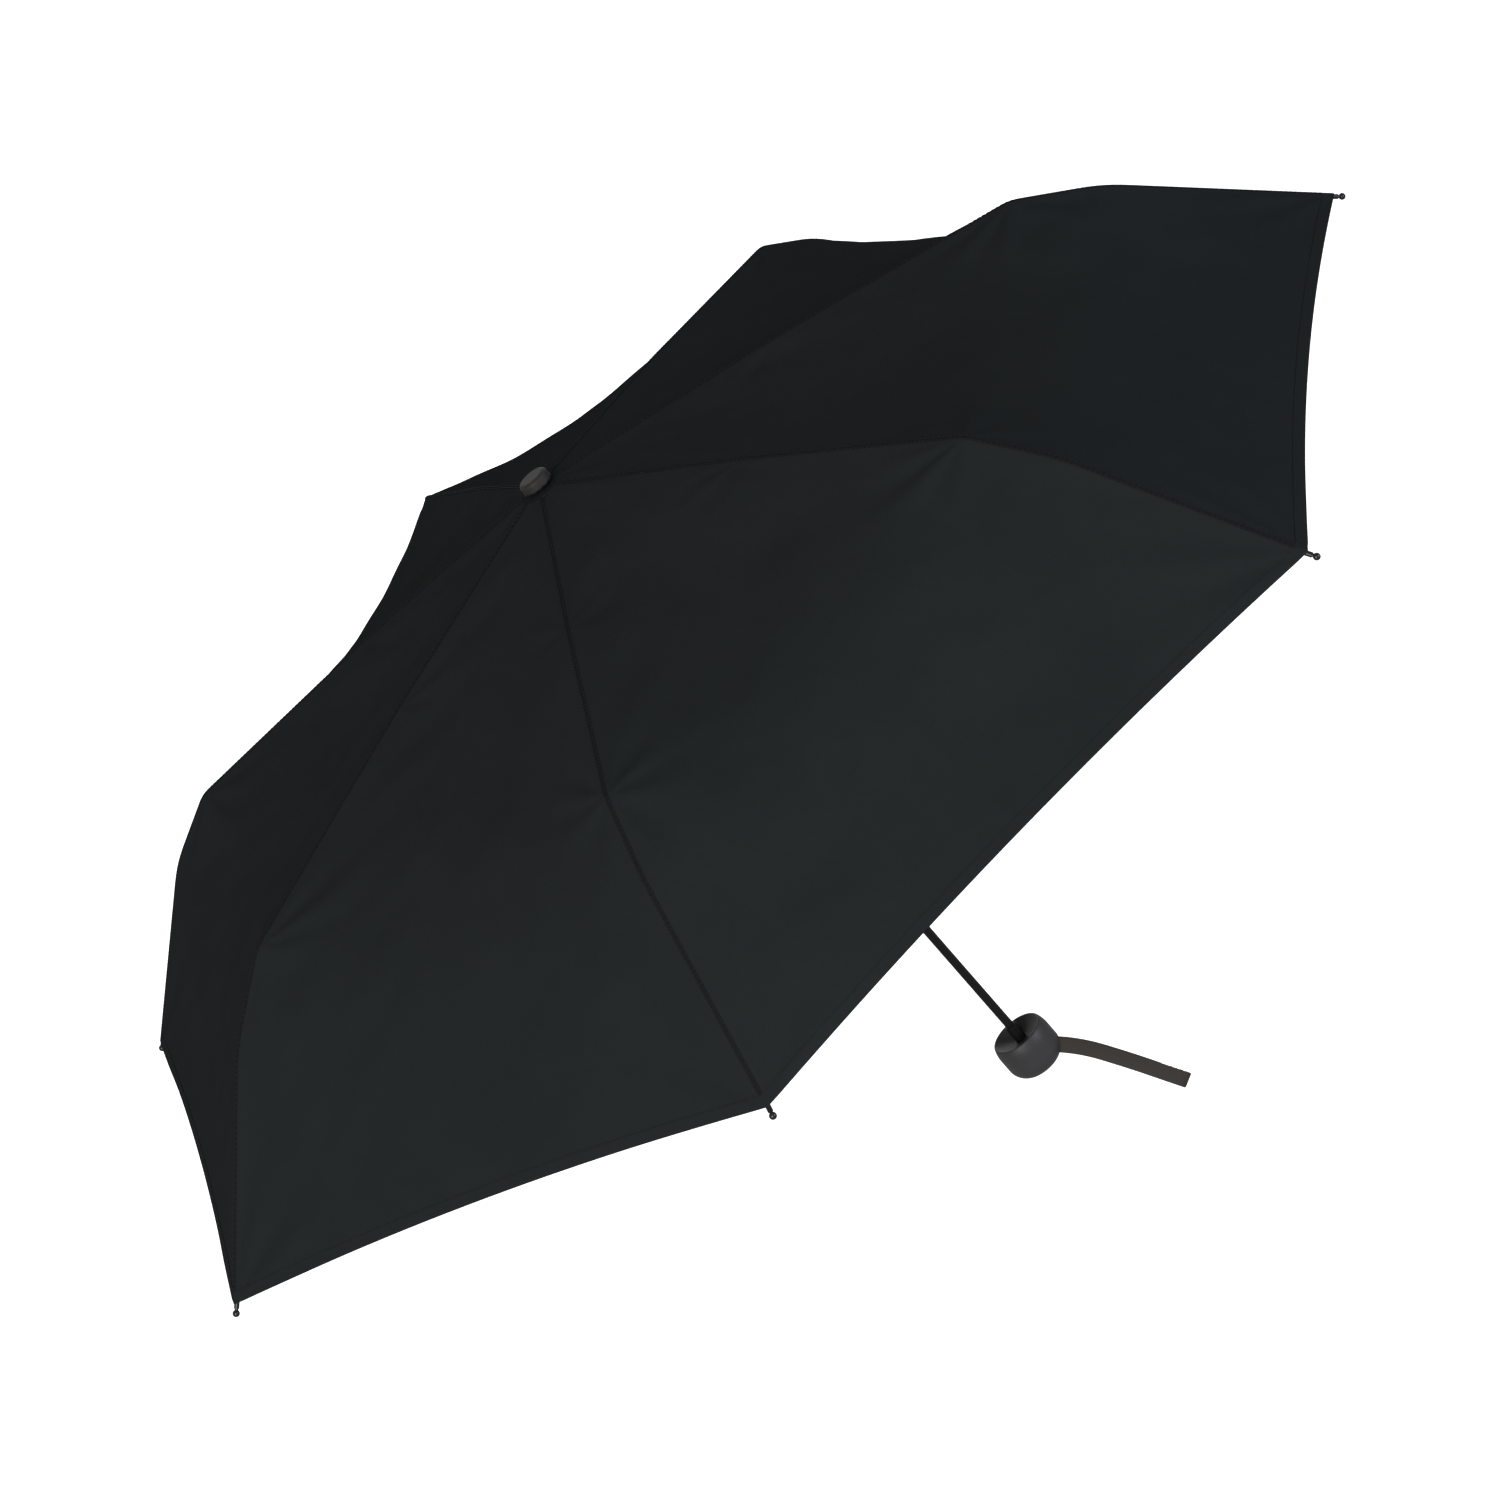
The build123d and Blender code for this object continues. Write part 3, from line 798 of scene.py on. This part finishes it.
def makeCentre():
    # the middle of the cloth, clamped under the cap
    rows = []
    uv = []
    edge = canopy["centre"] + centreDisc["over"]
    for radius in np.linspace(canopy["hole"], edge, centreDisc["rings"]):
        ring = []
        for rib in range(ribCount):
            across = np.linspace(-1.0, 1.0, centreDisc["steps"] + 1)[:-1]
            along = np.full(centreDisc["steps"], radius)
            ring.append(clothPoints(-rib, across, along, centreDisc["lift"]))
        ring = np.concatenate(ring)
        rows.append(np.concatenate((ring, ring[:1])))
        uv.append(np.concatenate((ring, ring[:1]))[:, :2])
    top = np.array(rows)
    bottom = top - np.array((0.0, 0.0, canopy["thickness"]))
    upward = np.zeros_like(top)
    upward[..., 2] = 1.0
    piece = slab("cloth_centre", top, bottom, np.array(uv), upward, finishes["cloth"])
    work = bmesh.new()
    work.from_mesh(piece.data)
    bmesh.ops.remove_doubles(work, verts=work.verts, dist=limits["close"])
    inside = [f for f in work.faces if f.calc_area() < limits["thinFace"]]
    bmesh.ops.delete(work, geom=inside, context="FACES")
    bmesh.ops.recalc_face_normals(work, faces=work.faces)
    work.to_mesh(piece.data)
    work.free()
    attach(piece, "upper_shaft")
    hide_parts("canopy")


strap = {
    "exit": (0.0169, -0.0057, -0.0102),
    "ahead": (0.7613, -0.2167, -0.6112),
    "side": (-0.6478, -0.3041, -0.6985),
    "width": 0.0102,
    "thickness": 0.0020,
    "round": 0.0008,
    "cornerSteps": 4,
    "order": 3,
    "resolution": 12,
    "reach": 3,              # points before and after that give the band its direction
    "endLeg": (0.0112, 0.0038, 0.0),
    # along the strap, across the band, and through the loop
    "route": [(-0.0075, 0.0, -0.0025), (0.0100, 0.0, -0.0026), (0.0460, 0.0109, -0.0032),
              (0.0700, 0.0192, -0.0032), (0.0812, 0.0230, -0.0027), (0.0822, 0.0234, 0.0),
              (0.0812, 0.0230, 0.0027), (0.0700, 0.0192, 0.0032), (0.0460, 0.0109, 0.0032),
              (0.0100, 0.0, 0.0026), (-0.0075, 0.0, 0.0025)],
}


def strapFrame():
    x = Vector(strap["ahead"]).normalized()
    y = Vector(strap["side"])
    z = x.cross(y).normalized()
    y = z.cross(x)
    return Matrix.Translation(strap["exit"]) @ Matrix((x, y, z)).transposed().to_4x4()


def splinePoints(name, points):
    data = bpy.data.curves.new(name, "CURVE")
    data.dimensions = "3D"
    line = data.splines.new("NURBS")
    line.points.add(len(points) - 1)
    for at, point in zip(line.points, points):
        at.co = (*point, 1.0)
    line.order_u = strap["order"]
    line.use_endpoint_u = True
    line.resolution_u = strap["resolution"]
    holder = bpy.data.objects.new(name, data)
    bpy.context.scene.collection.objects.link(holder)
    graph = bpy.context.evaluated_depsgraph_get()
    mesh = bpy.data.meshes.new_from_object(holder.evaluated_get(graph))
    found = [v.co.copy() for v in mesh.vertices]
    bpy.data.objects.remove(holder)
    return found


def bandOutline():
    # rounded rectangle, with a quarter circle at each corner
    wide = strap["width"] / 2 - strap["round"]
    deep = strap["thickness"] / 2 - strap["round"]
    ring = []
    for sx, sy, start in ((1, 1, 0), (-1, 1, 1), (-1, -1, 2), (1, -1, 3)):
        for step in range(strap["cornerSteps"] + 1):
            turn = math.pi / 2 * (start + step / strap["cornerSteps"])
            ring.append((sx * wide + strap["round"] * math.cos(turn),
                         sy * deep + strap["round"] * math.sin(turn)))
    return ring


def makeStrap():
    local = splinePoints("strapLine", strap["route"])
    place = strapFrame()
    loop = bandOutline()
    rings = []
    for i, point in enumerate(local):
        ahead = (local[min(i + 1, len(local) - 1)] - local[max(i - 1, 0)]).normalized()
        near = min(range(len(local)), key=lambda j: (abs(local[j].x - point.x), j))
        before = local[max(near - strap["reach"], 0)]
        after = local[min(near + strap["reach"], len(local) - 1)]
        leg = Vector((after.x - before.x, after.y - before.y, 0.0))
        if leg.length < limits["close"]:
            leg = Vector(strap["endLeg"])
        leg.normalize()
        wide = Vector((-leg.y, leg.x, 0.0))
        wide = (wide - ahead * wide.dot(ahead)).normalized()
        deep = ahead.cross(wide)
        rings.append([place @ (point + wide * a + deep * b) for a, b in loop])
    points = [tuple(p) for ring in rings for p in ring]
    count = len(loop)
    faces = []
    for i in range(len(rings) - 1):
        for j in range(count):
            k = (j + 1) % count
            faces.append((i * count + j, i * count + k, (i + 1) * count + k, (i + 1) * count + j))
    faces.append(tuple(range(count))[::-1])
    faces.append(tuple((len(rings) - 1) * count + j for j in range(count)))
    mesh = bpy.data.meshes.new("wrist_strap")
    mesh.from_pydata(points, [], faces)
    mesh.materials.append(finishes["strap"])
    band = meshObject("wrist_strap", mesh, True)
    path = [place @ p for p in local]
    length = sum((b - a).length for a, b in zip(path, path[1:]))
    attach(band, "grip")
    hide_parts("strap")


def stagePiece(name, mesh):
    f = Finish(name + "Finish")
    f.finish({"Base Color": view["floorTone"], "Roughness": view["floorRough"],
              "Emission Color": view["white"], "Emission Strength": view["floorGlow"]})
    mesh.materials.append(f.material)
    made = meshObject(name, mesh)
    made.visible_diffuse = False      # it is only there to be looked at, and lights nothing
    made.visible_glossy = False


def makeFloor():
    size = view["floorSize"] / 2
    level = min(corner[2] for corner in cadBounds) - view["floorDrop"]
    mesh = bpy.data.meshes.new("floor")
    mesh.from_pydata([(-size, -size, level), (size, -size, level), (size, size, level),
                      (-size, size, level)], [], [(0, 1, 2, 3)])
    stagePiece("floor", mesh)
    work = bmesh.new()
    bmesh.ops.create_uvsphere(work, u_segments=view["domeSides"], v_segments=view["domeRings"],
                              radius=size * view["domeShare"])
    bmesh.ops.reverse_faces(work, faces=work.faces)
    dome = bpy.data.meshes.new("backdrop")
    work.to_mesh(dome)
    work.free()
    stagePiece("backdrop", dome)


def makeLight():
    world = bpy.data.worlds.new("studio")
    world.use_nodes = True
    sky = world.node_tree.nodes["Background"]
    sky.inputs["Color"].default_value = view["white"]
    sky.inputs["Strength"].default_value = view["sky"]
    bpy.context.scene.world = world
    for name, values in lamps.items():
        data = bpy.data.lights.new(name, "AREA")
        data.shape = "DISK"
        data.size = values["size"]
        data.energy = values["power"]
        data.color = values["colour"]
        lamp = bpy.data.objects.new(name, data)
        lamp.location = values["place"]
        aim = Vector((0.0, 0.0, apexZ / 2)) - lamp.location
        lamp.rotation_euler = aim.to_track_quat("-Z", "Y").to_euler()
        bpy.context.scene.collection.objects.link(lamp)


makeCamera()
makeStrap()
print("camera and strap made")
finishNodes()
print("finishes put on the nodes")
makeCanopy()
print("canopy made")
makeFloor()
makeLight()
print("floor and lights made")
bpy.context.scene.view_settings.view_transform = "Standard"
